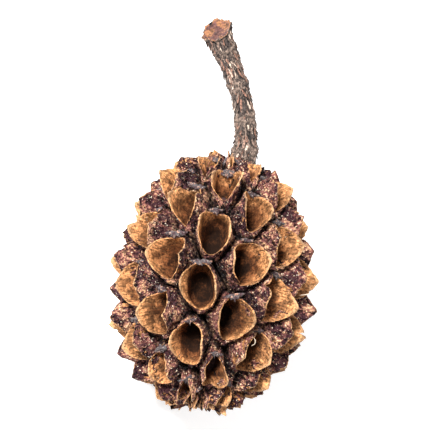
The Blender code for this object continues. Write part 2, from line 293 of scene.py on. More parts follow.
class ConeColours(bpy.types.PropertyGroup):
    """Colours of the cone's woods and bark."""

    inside: colour("Inside", "Smooth wood inside a valve", (0.53, 0.240, 0.096))
    # Inside, deep: painted shade on the wood low down in a mouth
    inside_painted_shade: colour("Inside, deep", "Wood low down in a mouth", (0.150, 0.052, 0.018))
    # Hollow: a near-black painted shadow at the bottom of a mouth
    hollow: colour("Hollow", "Bottom of a mouth", (0.016, 0.0055, 0.0016))
    rim: colour("Rim", "Thin edge of a valve", (0.53, 0.235, 0.078))
    rim_tip: colour("Rim tip", "Thick edge at a valve's tip", (0.44, 0.25, 0.125))
    back: colour("Back", "Dark weathered back of a valve", (0.050, 0.018, 0.022))
    back_warm: colour("Back, warm", "Warm patches on the backs", (0.25, 0.094, 0.078))
    back_wart: colour("Back wart", "Tan warts on the backs", (0.50, 0.245, 0.160))
    back_speck: colour("Back speck", "Pale specks on the backs", (0.74, 0.43, 0.23))
    # Glint: painted highlights, the brightest specks on the backs
    painted_glint: colour("Glint", "Brightest specks on the backs", (0.98, 0.86, 0.66))
    bract: colour("Bract", "Small pointed bracts", (0.072, 0.058, 0.059))
    bract_edge: colour("Bract edge", "Pale frayed parts of the bracts", (0.30, 0.24, 0.21))
    bark: colour("Bark", "Dark bark of the stalk", (0.052, 0.036, 0.030))
    bark_ridge: colour("Bark ridge", "Pale ridges of bark", (0.215, 0.150, 0.116))
    flake_pale: colour("Pale flake", "Palest flakes of bark", (0.62, 0.47, 0.37))
    flake_red: colour("Red flake", "Reddest flakes of bark", (0.27, 0.135, 0.092))
    scar: colour("Scar", "Broken end of the stalk", (0.15, 0.060, 0.050))
    scar_rim: colour("Scar rim", "Edge of the scar", (0.34, 0.145, 0.060))
    lichen: colour("Lichen", "Spot of lichen on a rim", (0.42, 0.46, 0.17))
    fibre: colour("Fibre", "Dry fibres", (0.75, 0.62, 0.48))


class ConeStage(bpy.types.PropertyGroup):
    """Floor, light and camera."""

    floor: colour("Floor", "Colour of the floor", (0.93, 0.93, 0.93))
    key_power: amount("Key light", "Power of the main light", 5.1, unit="POWER")
    fill_power: amount("Fill lights", "Power of each fill light", 0.35, unit="POWER")
    sky: amount("Sky", "Brightness of the room", 0.66)
    floor_glow: amount("Floor glow", "Light that comes up through the floor", 0.35)
    focal_length: amount("Focal length", "The camera's lens", 150, unit="CAMERA")


# Formulas in node trees


def sum_of(operation, swapped=False):
    """A Python operator that adds a math node for its fields."""

    def apply(self, *others):
        return calculate(operation, *((*others, self) if swapped else (self, *others)))

    return apply


class Field:
    """A socket's value in a node tree, which can be used in a formula as a number can."""

    __add__ = __radd__ = sum_of("ADD")
    __sub__ = sum_of("SUBTRACT")
    __rsub__ = sum_of("SUBTRACT", swapped=True)
    __mul__ = __rmul__ = sum_of("MULTIPLY")
    __truediv__ = sum_of("DIVIDE")
    __pow__ = sum_of("POWER")
    __abs__ = sum_of("ABSOLUTE")

    def __init__(self, tree, socket):
        self.tree = tree
        self.socket = socket


def feed(socket, value):
    """Links a field to a socket, or sets the socket to a plain value."""
    if isinstance(value, Field):
        value.tree.links.new(value.socket, socket)
    else:
        socket.default_value = value


def node(tree, kind, inputs=(), output=0, **settings):
    """Adds a node, sets and feeds it, and returns one of its outputs as a field."""
    made = tree.nodes.new(kind)
    for name, value in settings.items():
        setattr(made, name, value)
    for name, value in dict(inputs).items():
        feed(made.inputs[name], value)
    return Field(tree, made.outputs[output])


def formula(kind, inputs, output=0, **settings):
    """A node in the tree that its own inputs belong to."""
    inputs = dict(inputs)
    tree = next(value.tree for value in inputs.values() if isinstance(value, Field))
    return node(tree, kind, inputs, output, **settings)


def calculate(operation, *values):
    return formula("ShaderNodeMath", enumerate(values), operation=operation)


def vector_math(operation, *values):
    return formula("ShaderNodeVectorMath", enumerate(values), operation=operation)


def blend(start, end, share):
    """From start to end, by share."""
    return (end - start) * share + start


def step(value, low, high, start=0.0, end=1.0):
    """A smooth climb from start to end as the value goes from low to high."""
    inputs = {"Value": value, "From Min": low, "From Max": high, "To Min": start, "To Max": end}
    return formula("ShaderNodeMapRange", inputs, "Result", interpolation_type="SMOOTHSTEP")


def combine(x, y, z):
    return formula("ShaderNodeCombineXYZ", {"X": x, "Y": y, "Z": z})


def scaled(vector, factor):
    inputs = {"Vector": vector, "Scale": factor}
    return formula("ShaderNodeVectorMath", inputs, operation="SCALE")


def noise(vector, scale, detail=3.0, roughness=0.55, distortion=0.0, output=0):
    names = ("Vector", "Scale", "Detail", "Roughness", "Distortion")
    inputs = zip(names, (vector, scale, detail, roughness, distortion))
    return formula("ShaderNodeTexNoise", inputs, output)


def euler(angles):
    return formula("FunctionNodeEulerToRotation", {0: angles})


def wobbled(rotation, wobble):
    """A rotation with small angles added about its own axes."""
    inputs = {0: rotation, 1: euler(wobble)}
    return formula("FunctionNodeRotateRotation", inputs, rotation_space="LOCAL")


# Geometry Nodes


class Grower:
    """A Geometry Nodes tree under construction, with its named inputs and their values."""

    def __init__(self, name):
        self.tree = bpy.data.node_groups.new(name, "GeometryNodeTree")
        for way in ("INPUT", "OUTPUT"):
            self.tree.interface.new_socket(
                "Geometry", in_out=way, socket_type="NodeSocketGeometry"
            )
        self.entry = self.tree.nodes.new("NodeGroupInput")
        self.values = {}
        self.geometry = Field(self.tree, self.entry.outputs["Geometry"])

    def add_input(self, name, kind, value):
        socket = self.tree.interface.new_socket(
            name, in_out="INPUT", socket_type="NodeSocket" + kind
        )
        self.values[socket.identifier] = value
        return Field(self.tree, self.entry.outputs[name])

    def add_size(self, shape, label):
        """A named input for one of the cone's sizes."""
        return self.add_input(label.replace("_", " ").title(), "Float", getattr(shape, label))

    def read(self, name, kind="FLOAT"):
        """A number or a vector that is stored for each point."""
        return node(self.tree, "GeometryNodeInputNamedAttribute", {"Name": name}, data_type=kind)

    def spin(self):
        return euler(self.read("spin", "FLOAT_VECTOR"))

    def position(self):
        return node(self.tree, "GeometryNodeInputPosition")

    def normal(self):
        return node(self.tree, "GeometryNodeInputNormal")

    def random(self, low, high, seed):
        first, output, kind = (0, 0, "FLOAT_VECTOR") if isinstance(low, tuple) else (2, 1, "FLOAT")
        inputs = {first: low, first + 1: high, "Seed": seed}
        return node(self.tree, "FunctionNodeRandomValue", inputs, output, data_type=kind)

    def step(self, kind, inputs=(), **settings):
        """Passes the geometry through one more node."""
        self.geometry = node(self.tree, kind, {0: self.geometry, **dict(inputs)}, **settings)

    def move(self, **inputs):
        """Sets the points' Position, or adds an Offset to it."""
        self.step("GeometryNodeSetPosition", inputs)

    def store(self, name, value):
        inputs = {"Name": name, "Value": value}
        self.step("GeometryNodeStoreNamedAttribute", inputs, data_type="FLOAT")

    def plant(self, title, pattern, **placing):
        """Stands a copy of a pattern on each point."""
        shown = self.add_input(title, "Object", pattern)
        copy = node(self.tree, "GeometryNodeObjectInfo", {"Object": shown}, "Geometry")
        self.step("GeometryNodeInstanceOnPoints", {"Instance": copy, **placing})
        self.step("GeometryNodeRealizeInstances")

    def sway(self, scale, detail, reach):
        """Bends the geometry out of true by noise."""
        sway = noise(self.position(), scale, detail, 0.5, output=1)
        self.move(Offset=scaled(vector_math("SUBTRACT", sway, (0.5, 0.5, 0.5)), reach))

    def grow(self, obj, material):
        """Ends the tree, runs it on the object and leaves the result as a plain mesh."""
        paint = self.add_input("Material", "Material", material)
        self.step("GeometryNodeRealizeInstances")
        self.step("GeometryNodeSetShadeSmooth")
        self.step("GeometryNodeSetMaterial", {"Material": paint})
        feed(self.tree.nodes.new("NodeGroupOutput").inputs[0], self.geometry)
        modifier = obj.modifiers.new(self.tree.name, "NODES")
        modifier.node_group = self.tree
        for identifier, value in self.values.items():
            modifier[identifier] = value
        graph = bpy.context.evaluated_depsgraph_get()
        graph.update()
        grown = bpy.data.meshes.new_from_object(obj.evaluated_get(graph), depsgraph=graph)
        obj.modifiers.clear()
        obj.data = grown
        grown.name = obj.name


# Meshes


def new_object(name, data):
    obj = bpy.data.objects.new(name, data)
    bpy.context.scene.collection.objects.link(obj)
    return obj


def mesh_of(name, points, faces, attributes=()):
    """A mesh from points and faces, with a number or a vector stored for each point by name."""
    mesh = bpy.data.meshes.new(name)
    mesh.from_pydata([tuple(p) for p in points], [], faces)
    for label, values in dict(attributes).items():
        values = np.asarray(values, np.float32)
        kind, key = ("FLOAT_VECTOR", "vector") if values.ndim == 2 else ("FLOAT", "value")
        layer = mesh.attributes.new(label, kind, "POINT")
        layer.data.foreach_set(key, values.ravel())
    mesh.update()
    return mesh


def closed_tube(rings, below, above):
    """Points and faces of a tube of rings, closed by a pole at each end, with its faces out."""
    rings = np.asarray(rings)
    rows, columns = rings.shape[:2]
    points = np.vstack([rings.reshape(-1, 3), [below], [above]])
    pairs = [(column, (column + 1) % columns) for column in range(columns)]
    faces = []
    for first in range(0, (rows - 1) * columns, columns):
        upper = first + columns
        faces += [(first + a, first + b, upper + b, upper + a) for a, b in pairs]
    low_pole, last = rows * columns, (rows - 1) * columns
    faces += [(b, a, low_pole) for a, b in pairs]
    faces += [(last + a, last + b, low_pole + 1) for a, b in pairs]
    return points, faces


def circle(count):
    """Angles evenly round a circle."""
    return 2 * math.pi * np.arange(count) / count


def catmull_rom(route, steps):
    """Points on a smooth curve through a route."""
    route = np.asarray(route)
    spans = len(route) - 1
    points = []
    for i in range(spans):
        before, start, end, after = (route[min(max(k, 0), spans)] for k in range(i - 1, i + 3))
        bend = 2 * before - 5 * start + 4 * end - after
        twist = 3 * start - before - 3 * end + after
        for t in (number / steps for number in range(steps)):
            points.append(0.5 * (2 * start + (end - before) * t + bend * t * t + twist * t ** 3))
    points.append(route[-1])
    return np.array(points)


def tube_rings(line, radii, columns):
    """Rings square to a line, carried along it without twist."""
    line = np.asarray(line)
    ways = np.gradient(line, axis=0)
    ways /= np.linalg.norm(ways, axis=1)[:, None]
    side = Vector(ways[0]).orthogonal().normalized()
    rings = []
    for spot, way, radius in zip(line, ways, radii):
        way = Vector(way)
        side = (side - way * side.dot(way)).normalized()
        other = way.cross(side)
        spokes = [side * math.cos(a) + other * math.sin(a) for a in circle(columns)]
        rings.append([Vector(spot) + spoke * radius for spoke in spokes])
    return np.array(rings), ways


def finish_piece(obj, slot, *nodes):
    """Lets a finished piece ride on the cone and stand for its solids."""
    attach(obj, BODY)
    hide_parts(*nodes)


def plain_piece(name, mesh, material):
    """A finished piece of the head that needs no growing."""
    mesh.materials.append(material)
    mesh.shade_smooth()
    finish_piece(new_object(name, mesh), "dry_wood", "cone_head")


# The cone's lattice


def rest_pose():
    roll = Matrix.Rotation(FREE_END_DIP, 4, "X") @ Matrix.Rotation(ROLL, 4, "Y")
    return Matrix.Translation(REST_SHIFT) @ roll


def around_cone(phi):
    """Straight out from the cone's axis, this far round it."""
    return Vector((math.sin(phi), 0.0, math.cos(phi)))


def meridian_angle(shape, arc):
    """The angle on the mouths' ellipse that lies this far along it from the widest place."""
    angles = np.linspace(-math.pi / 2, math.pi / 2, MERIDIAN_SAMPLES)
    steps = np.hypot(
        np.diff(shape.mouth_half_length * np.sin(angles)),
        np.diff(shape.mouth_radius * np.cos(angles)),
    )
    lengths = np.concatenate([[0.0], np.cumsum(steps)])
    lengths -= lengths[len(lengths) // 2]
    return float(np.interp(arc, lengths, angles))


def surface_place(shape, whorl, column):
    """The point of the mouths' ellipsoid at a whorl and column, and the directions round the cone,
    towards the stalk and straight out there."""
    theta = meridian_angle(shape, (whorl - WIDEST_WHORL) * shape.whorl_pitch)
    phi = FIRST_FRUIT_ANGLE + column * 2 * math.pi / shape.fruits
    phi += (whorl - WIDEST_WHORL) * WHORL_TWIST
    radius, half = shape.mouth_radius, shape.mouth_half_length
    around = around_cone(phi)
    place = around * radius * math.cos(theta) - Vector((0.0, half * math.sin(theta), 0.0))
    outward = around * (math.cos(theta) / radius) - Vector((0.0, math.sin(theta) / half, 0.0))
    outward.normalize()
    round_cone = Vector((math.cos(phi), 0.0, -math.sin(phi)))
    return place, round_cone, outward.cross(round_cone), outward


def vigour(shape, whorl):
    """1 in the middle of the cone, less towards both ends, where the fruits are stunted."""
    from_middle = (whorl - (shape.whorls - 1) / 2) / ((shape.whorls + 1) / 2)
    return 1 - shape.end_shrink * abs(from_middle) ** 3


def make_seat(shape, chance, number, whorl, column, size, spread, sunk=0.0):
    """One fruit's place, directions and sizes. The draws keep the order of the solids."""
    place, round_cone, to_stalk, outward = surface_place(shape, whorl, column)
    place -= outward * sunk
    axes = Matrix((round_cone, to_stalk, outward)).transposed().to_4x4()
    turn = Matrix.Rotation(chance.uniform(-spread["turn"], spread["turn"]), 4, "Z")
    tilt = Matrix.Rotation(chance.uniform(-spread["tilt"], spread["tilt"]), 4, "X")
    crowding = math.hypot(place.x, place.z) / shape.mouth_radius
    breadth = size if spread is CLOSED_SPREAD else crowding
    return {
        "whorl": whorl,
        "frame": rest_pose() @ Matrix.Translation(place) @ axes @ turn @ tilt,
        "crowding": crowding,
        "size": size,
        "half_width": shape.half_width * breadth * chance.uniform(*spread["width"]),
        "half_height": shape.half_height * size * chance.uniform(*spread["height"]),
        "rise_right": shape.tip_rise * size * chance.uniform(*spread["rise"]),
        "rise_left": shape.tip_rise * size * chance.uniform(*spread["rise"]),
        "lean": round_cone.cross(to_stalk).cross(Vector((0, 1, 0))).length,
        "tone": number * TONE_STEP % 1,
    }


def fruit_seats(shape):
    """Seats for every open fruit."""
    chance = random.Random(SHAPE_SEED)
    seats = []
    for whorl in range(shape.whorls):
        size = vigour(shape, whorl)
        for number in range(shape.fruits):
            column = number + (whorl + 1) % 2 / 2
            seats.append(make_seat(shape, chance, len(seats), whorl, column, size, OPEN_SPREAD))
    return seats


def closed_seats(shape):
    """Seats for the small fruits round both ends, whose valves never opened."""
    chance = random.Random(SHAPE_SEED + 1)
    seats = []
    for whorl, fruits, size, sunk in CLOSED_WHORLS:
        for number in range(fruits):
            column = (number + chance.uniform(-0.2, 0.2)) * shape.fruits / fruits
            place = (len(seats), whorl, column, size, CLOSED_SPREAD, sunk)
            seats.append(make_seat(shape, chance, *place))
    return seats


def seats_mesh(name, seats):
    """A mesh with one loose point for each seat, which carries the seat's sizes."""
    labels = [label for label in seats[0] if label not in ("whorl", "frame")]
    attributes = {label: [seat[label] for seat in seats] for label in labels}
    places = [seat["frame"].translation for seat in seats]
    attributes["place"] = np.array(places)
    attributes["spin"] = np.array([seat["frame"].to_euler() for seat in seats])
    return mesh_of(name, places, [], attributes)


def end_seats():
    """Places for the closed scales, in rings round the stalk's base and in the free end's tuft."""
    places, spins, sizes = [], [], []
    pose = rest_pose()
    for along, radius, count, lean, size in END_RINGS:
        side = math.copysign(1, along)
        centre = SOCKET_OFFSET if along > 0 else 0.0
        for number in range(count):
            outward = around_cone(2 * math.pi * (number + SCALE_RING_TURN * count) / count)
            endways = Vector((0.0, side * math.cos(lean), 0.0))
            way = (outward * math.sin(lean) + endways).normalized()
            across = way.cross(outward).normalized()
            axes = Matrix((across, way.cross(across), way)).transposed()
            if axes.determinant() < 0:
                axes = Matrix((-across, way.cross(across), way)).transposed()
            places.append(pose @ (Vector((centre, along, 0.0)) + outward * radius))
            spins.append((pose.to_3x3() @ axes).to_euler())
            sizes.append(size)
    attributes = {"place": np.array(places), "spin": np.array(spins), "size": sizes}
    return mesh_of("end_seats", places, [], attributes)


# Pieces


def cup_mesh(columns_round):
    """The grid that becomes a fruit. Each point knows its turn round the mouth, its climb from the
    hollow's floor, its share of the wall's thickness and how far up the back it is."""
    labels = ("climb", "share", "up_back", "over_rim", "depth_in")
    rows = [(BACK_TOP, 1.0, SKIRT_ROW, 0.0, 0.0)]
    rows += [(BACK_TOP, 1.0, i / (BACK_ROWS - 1), 0.0, 0.0) for i in range(BACK_ROWS)]
    last = len(RIM_ROWS) + 1
    rows += [(climb, share, 1.0, (i + 1) / last, 0.0) for i, (climb, share) in enumerate(RIM_ROWS)]
    downs = [(i + 1) / INNER_ROWS for i in range(INNER_ROWS)]
    rows += [(INNER_TOP * (1 - down ** INNER_EASE), 0.0, 1.0, 1.0, down) for down in downs]
    poles = ((0.0, 0.0, BURIED_ROW, 0.0, 0.0), (0.0, 0.0, 1.0, 1.0, 1.0))
    turns = circle(columns_round)
    stations = np.arange(len(CELL_OUTLINE)) * 2 * math.pi / (len(CELL_OUTLINE) - 1)
    steep = np.abs(np.sin(turns))
    columns = {
        "across": np.cos(turns),
        "along": np.sin(turns),
        "foot_along": np.interp(turns, stations, [-down for down, _ in CELL_OUTLINE]),
        "foot_round": np.interp(turns, stations, [across for _, across in CELL_OUTLINE]),
        "foot_lift": np.clip((steep - FOOT_LIFT_START) / FOOT_LIFT_RUN, 0, 1),
    }
    attributes = {
        label: [row[k] for row in rows for _ in turns] + [pole[k] for pole in poles]
        for k, label in enumerate(labels)
    }
    for label, values in columns.items():
        attributes[label] = list(values) * len(rows) + [0.0] * len(poles)
    points, faces = closed_tube(np.zeros((len(rows), columns_round, 3)), (0, 0, 0), (0, 0, 0))
    return mesh_of("cup", points, faces, attributes)


def valve_grower(shape, cup):
    """Stands a cup on each seat, bends it into a pair of gaping valves and roughens its back."""
    grower = Grower("valves")
    read = grower.read
    half_height, mouth_radius, whorl_pitch, notch_drop, mouth_depth, crevice_depth = (
        grower.add_size(shape, label)
        for label in (
            "half_height", "mouth_radius", "whorl_pitch", "notch_drop", "mouth_depth",
            "crevice_depth",
        )
    )
    tip_thickness, edge_thickness, wart_height, warp = (
        grower.add_size(shape, label)
        for label in ("tip_thickness", "edge_thickness", "wart_height", "warp")
    )
    grower.plant("Cup", cup)
    across, along, climb, up_back = (read(n) for n in ("across", "along", "climb", "up_back"))
    tone, size, crowding, lean = (read(n) for n in ("tone", "size", "crowding", "lean"))
    steep = abs(along)

    # Bites torn out of some rims, and a ragged edge on all of them
    ring = combine(across * 1.3 + tone * 37, along * 1.3 + tone * 91, tone * 53)
    bite = step(noise(ring, 1.7, 3.0, 0.6), 0.58, 0.78, 0.0, DEEPEST_BITE)
    ragged = (noise(ring, 5.0, 2.0, 0.6) - 0.5) * RAGGED_EDGE
    climb = climb * (1 - bite - ragged)

    # The rim, the hollow's floor and the wall between them
    pinch = calculate("MAXIMUM", 1 - steep ** MOUTH_TAPER, 0.0) ** MOUTH_FULLNESS
    tip = calculate("MAXIMUM", 1 - steep ** TIP_SHARPNESS, 0.0)
    right = calculate("GREATER_THAN", across, 0.0)
    rise = blend(read("rise_left"), read("rise_right"), right)
    rim_x = calculate("SIGN", across) * read("half_width") * pinch
    rim_y = read("half_height") * along
    rim_z = rise * tip - notch_drop * steep ** NOTCH_SHARPNESS
    floor_x = crowding * across * FLOOR_HALF_WIDTH
    floor_y = read("half_height") / half_height * along * FLOOR_HALF_HEIGHT
    widen = 1 - (1 - climb) ** HOLLOW_FLARE
    full = calculate("MINIMUM", crowding * CROWDING_GAIN, 1.0)
    wall = blend(edge_thickness, tip_thickness, abs(across) ** 5) * read("share")
    wall = wall * calculate("MAXIMUM", full, THINNEST_WALL)
    depth = mouth_depth * size
    x = blend(floor_x, rim_x, widen) + wall * across
    y = blend(floor_y, rim_y, widen) + wall * along
    z = (rim_z + depth) * climb - depth

    # The foot of the back, in the crease between this fruit and the next
    crease = crevice_depth * size * (1 - read("foot_lift") * NOTCH_FOOT_LIFT)
    swing = read("foot_round") * (2 * math.pi / shape.fruits)
    reach = mouth_radius * crowding - crease * lean
    foot_x = reach * calculate("SINE", swing)
    foot_y = read("foot_along") * whorl_pitch * FOOT_REACH
    drop = reach * (1 - calculate("COSINE", swing)) * lean + foot_y * foot_y * FOOT_SAG
    foot_z = (crease + drop) * -1
    up = calculate("MAXIMUM", up_back, 0.0)
    swell = (up * (1 - up)) * 4 * size * across * -BACK_BULGE
    x = blend(foot_x, x, up) + swell
    y = blend(foot_y, y, up)
    z = blend(foot_z, z, up)

    # Below the foot the back sinks into the core as a skirt, and a pole closes it
    skirt = calculate("LESS_THAN", up_back, SKIRT_ROW / 2)
    buried = calculate("LESS_THAN", up_back, (SKIRT_ROW + BURIED_ROW) / 2)
    z = blend(z, depth * -SKIRT_DEPTH, skirt)
    inwards = (1 - skirt * SKIRT_TAPER) * (1 - buried)
    inputs = {"Vector": combine(x * inwards, y * inwards, z), "Rotation": grower.spin()}
    turned = formula("FunctionNodeRotateVector", inputs)
    grower.move(Position=vector_math("ADD", read("place", "FLOAT_VECTOR"), turned))

    # Bent out of true, then warts and wrinkles on the back
    grower.sway(190, 1.0, warp * up)
    wart = noise(grower.position(), 2400, 3.0, 0.65)
    fold_frame = combine(across * 6 + tone * 17, along * 6, up * 2.2 + tone * 29)
    fold = abs(noise(fold_frame, 1.0, 2.0, 0.5, 0.9) - 0.5) * 4
    relief = (wart - 0.5) * 1.1 + (fold - 0.4) * 0.5
    grower.store("relief", relief)
    grower.store("fold", fold)
    taper = step(up, 0.0, 0.2) * step(read("over_rim"), 0.0, 0.35, 1.0, 0.0)
    grower.move(Offset=scaled(grower.normal(), relief * wart_height * taper))

    # The tips that the cone lies on are worn flat
    aside, ahead, high = (
        formula("ShaderNodeSeparateXYZ", {0: grower.position()}, axis) for axis in "XYZ"
    )
    grower.move(Position=combine(aside, ahead, calculate("MAXIMUM", high, 0.0)))
    return grower


def bract_mesh():
    """A thin, spidery bract of unit half width, with its spike towards the free end."""
    outline = list(BRACT_OUTLINE) + [(-x, y) for x, y in BRACT_OUTLINE[-2:0:-1]]
    rings = [
        [(x * share, y * share, z + BRACT_CUPPING * x * x) for x, y in outline]
        for share, z in BRACT_LEVELS
    ]
    points, faces = closed_tube(rings, (0.0, 0.0, -0.4), (0.0, 0.02, 0.30))
    return mesh_of("bract", points, faces)


def bract_grower(shape, bract):
    """Sets a bract on each seat, turned and sized a little at random."""
    grower = Grower("bracts")
    breadth = grower.add_size(shape, "bract_size")
    size = (1.5 - grower.read("size") * 0.5) * breadth * grower.random(0.75, 1.4, 3)
    stretch = combine(size * (grower.read("crowding") * 0.4 + 0.6), size, size)
    wobble = grower.random((-1.0, -0.3, -0.4), (-0.1, 0.3, 0.4), 5)
    grower.plant("Bract", bract, Rotation=wobbled(grower.spin(), wobble), Scale=stretch)
    grower.sway(1100, 2.0, breadth * 0.9)
    return grower


def scale_mesh():
    """A closed, pointed scale of unit length that leans out a little, with sharp side edges."""
    rings = []
    for climb in SCALE_CLIMBS:
        width = 0.27 * (1 - climb ** 1.7) ** 0.7 + 0.015
        thick = 0.15 * (1 - climb) ** 0.6 + 0.012
        lean = 0.16 * climb ** 2
        ways = [(math.cos(a), math.sin(a)) for a in circle(SCALE_SIDES)]
        rings.append([(width * x, lean + thick * y * abs(y), climb) for x, y in ways])
    points, faces = closed_tube(rings, (0.0, 0.0, -0.15), (0.0, 0.17, 1.0))
    return mesh_of("end_scale", points, faces)


def scale_grower(shape, scale):
    """Sets a closed scale on each seat, turned and sized a little at random."""
    grower = Grower("end_scales")
    tall = grower.add_size(shape, "scale_length")
    size = grower.read("size") * tall
    width, height = grower.random(0.8, 1.35, 11), grower.random(0.7, 1.1, 12)
    stretch = combine(size * width, size, size * height)
    wobble = grower.random((-0.3, -0.3, -0.5), (0.3, 0.3, 0.5), 9)
    grower.plant("Scale", scale, Rotation=wobbled(grower.spin(), wobble), Scale=stretch)
    grower.sway(900, 2.0, tall * 0.22)
    return grower


def core_inset(shape, theta):
    """How far the core's surface lies inside the mouths' ellipsoid, clear of the hollows."""
    endways = abs(math.sin(theta)) ** 3
    return shape.mouth_depth * (CORE_INSET - CORE_END_INSET_LESS * endways)


def core_mesh(shape):
    """The woody core between the fruits, drawn out to a blunt end by the stalk and at the tuft."""
    rings = []
    for row in range(1, CORE_ROWS):
        theta = math.pi * (row / CORE_ROWS - 0.5)
        inset = core_inset(shape, theta)
        radius = (shape.mouth_radius - inset) * math.cos(theta)
        along = (shape.mouth_half_length - inset) * -math.sin(theta)
        turns = circle(CORE_COLUMNS)
        rings.append([(radius * math.sin(phi), along, radius * math.cos(phi)) for phi in turns])
    end = shape.mouth_half_length - core_inset(shape, math.pi / 2)
    points, faces = closed_tube(rings, (0, end, 0), (0, -end, 0))
    pose = rest_pose()
    return mesh_of("core", [pose @ Vector(p) for p in points], faces)


def stalk_mesh():
    """The stalk as a fine tube with its oblique, dished scar, each point knowing where it is."""
    curve = catmull_rom(STALK_ROUTE, STALK_STEPS)
    line, radii = curve[:, :3], curve[:, 3]
    rings, ways = tube_rings(line, radii, STALK_COLUMNS)
    end, way = line[-1], ways[-1]
    caps = [end + (rings[-1] - end) * share - way * SCAR_DISH * dish for share, dish in SCAR_RINGS]
    rings = np.vstack([rings, caps])
    rows = len(rings)
    heart = end - way * SCAR_DISH * SCAR_HEART_DISH
    slanted = []
    for point in np.vstack([rings.reshape(-1, 3), [line[0]], [heart]]):
        share = 1 + (point - end) @ way / SCAR_SLANT_REACH
        turn = math.atan2(point[2] - end[2], point[0] - end[0])
        cut = SCAR_CUT + SCAR_SLANT * (point[2] - end[2]) - SCAR_SKEW * (point[0] - end[0])
        cut += SCAR_RAGGED * (math.sin(3 * turn + 3.4) + 0.6 * math.sin(7 * turn + 1.0))
        slanted.append(point - way * cut * max(share, 0.0) ** 2)
    sides = np.array(slanted[:-2]).reshape(rows, STALK_COLUMNS, 3)
    points, faces = closed_tube(sides, *slanted[-2:])

    def on_points(rows_values):
        """A value for each point and for both poles, from a value for each row."""
        repeated = np.repeat(rows_values, STALK_COLUMNS, axis=0)
        return np.concatenate([repeated, rows_values[:1], rows_values[-1:]])

    pose = rest_pose()
    lengths = np.linalg.norm(np.diff(line, axis=0), axis=1)
    runs = np.concatenate([[0.0], np.cumsum(lengths)])
    runs = np.append(runs, [runs[-1]] * len(SCAR_RINGS))
    scar = np.array([0.0] * len(line) + [1.0 - share for share, _ in SCAR_RINGS])
    turned = ways @ np.array(pose.to_3x3()).T
    turned = np.vstack([turned, np.repeat(turned[-1:], len(SCAR_RINGS), axis=0)])
    attributes = {
        "run": on_points(runs),
        "to_scar": on_points(runs[-1] - runs),
        "scar_in": on_points(scar),
        "girth": np.append(np.tile(circle(STALK_COLUMNS), rows), [0.0, 0.0]),
        "way": on_points(turned),
    }
    attributes["scar_in"][-1] = 1.0
    return mesh_of("stalk", [pose @ Vector(p) for p in points], faces, attributes)


def bark_grower(shape):
    """Raises ridged, flaking bark along the stalk."""
    grower = Grower("bark")
    ridge = grower.add_size(shape, "ridge_height")
    girth, run = grower.read("girth"), grower.read("run")
    angle = girth + noise(combine(run * 160, 0.0, 0.0), 1.0, 1.0) * 2.5
    ring_x, ring_y = calculate("COSINE", angle), calculate("SINE", angle)
    strands = noise(combine(ring_x * 4.2, ring_y * 4.2, run * 380), 1.0, 4.0, 0.62, 0.5)
    crust = noise(combine(ring_x * 3.4, ring_y * 3.4, run * 1900), 1.0, 3.0, 0.6)
    slope = ring_x * 0.10 + (strands - 0.5) * 0.5
    sheath = calculate("FRACT", run / SHEATH_LENGTH + slope + 0.3)
    height = (strands - 0.5) * 1.8 + (crust - 0.5) * 0.9 + (sheath ** 2 - 0.35) * 0.55
    grower.store("bark_height", height)
    grower.store("ring_x", calculate("COSINE", girth))
    grower.store("ring_y", calculate("SINE", girth))
    clear = step(grower.read("scar_in"), 0.0, 0.12, 1.0, 0.12)
    grower.move(Offset=scaled(grower.normal(), height * ridge * clear))
    return grower


def flake_mesh():
    """A thin lens-shaped flake of unit length along Y, curled up at the end by the cone."""
    rings = []
    for along in FLAKE_RINGS:
        width = 0.075 * (1 - (2 * along) ** 2) ** 0.6 + 0.008
        lift = 0.26 * max(0.0, 0.05 - along) ** 1.5
        angles = circle(FLAKE_SIDES)
        rings.append([(width * math.sin(a), along, lift + 0.030 * math.cos(a)) for a in angles])
    points, faces = closed_tube(rings, (0.0, -0.5, 0.12), (0.0, 0.5, 0.0))
    return mesh_of("flake", points, faces)


def flake_grower(shape, flake):
    """Scatters loose flakes along the bark, each lying with the stalk."""
    grower = Grower("bark_flakes")
    tall = grower.add_size(shape, "flake_length")
    crowd = grower.add_input("Flakes Per Square Metre", "Float", FLAKES_PER_SQUARE_METRE)
    density = crowd * step(grower.read("to_scar"), *FLAKES_END)
    inputs = {"Density": density, "Seed": FLAKE_SEED}
    grower.step("GeometryNodeDistributePointsOnFaces", inputs)
    normal = Field(grower.tree, grower.geometry.socket.node.outputs["Normal"])
    align = "FunctionNodeAlignRotationToVector"
    upright = formula(align, {"Vector": normal}, axis="Z")
    inputs = {"Rotation": upright, "Vector": grower.read("way", "FLOAT_VECTOR")}
    laid = formula(align, inputs, axis="Y", pivot_axis="Z")
    grower.store("flake_tone", grower.random(0.0, 1.0, 10))
    lean = grower.random((-0.25, -0.3, -0.3), (0.05, 0.3, 0.3), 6)
    size = tall * grower.random(0.3, 1.2, 7)
    stretch = combine(size * grower.random(0.6, 1.8, 8), size, size)
    grower.plant("Flake", flake, Rotation=wobbled(laid, lean), Scale=stretch)
    return grower


